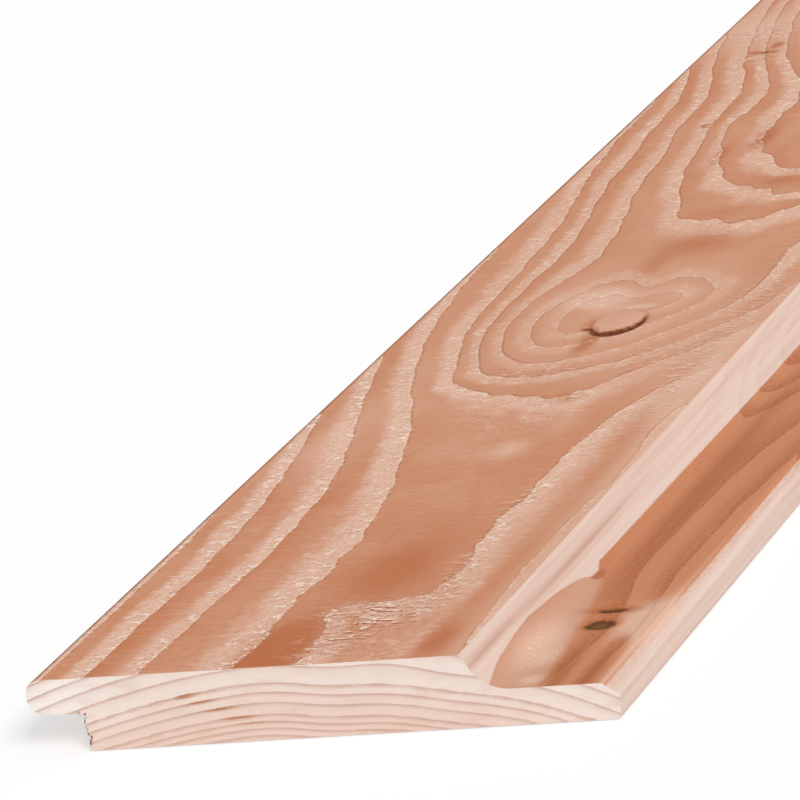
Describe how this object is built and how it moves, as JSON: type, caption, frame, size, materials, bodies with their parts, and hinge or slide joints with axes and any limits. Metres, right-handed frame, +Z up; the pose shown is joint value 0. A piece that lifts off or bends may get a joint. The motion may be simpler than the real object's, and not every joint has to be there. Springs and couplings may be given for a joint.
{
  "type": "half-lap weatherboard",
  "caption": "Half-lap softwood weatherboard: rounded nose over a rebate on one edge, coved channel and ledge on the other, for cladding walls and fences.",
  "frame": {"origin": "middle of the board's footprint, on the floor under its back", "axes": "+X across the board from the nose to the ledge, +Y along the board away from the end seen in the picture, +Z up out of the face"},
  "size_m": [0.145, 1.8, 0.018],
  "materials": {
    "timber": "untreated softwood, fine-sawn fuzzy face with planed edges, cove and back"
  },
  "bodies": {
    "root": {"weatherboard": "timber"}
  },
  "joints": []
}
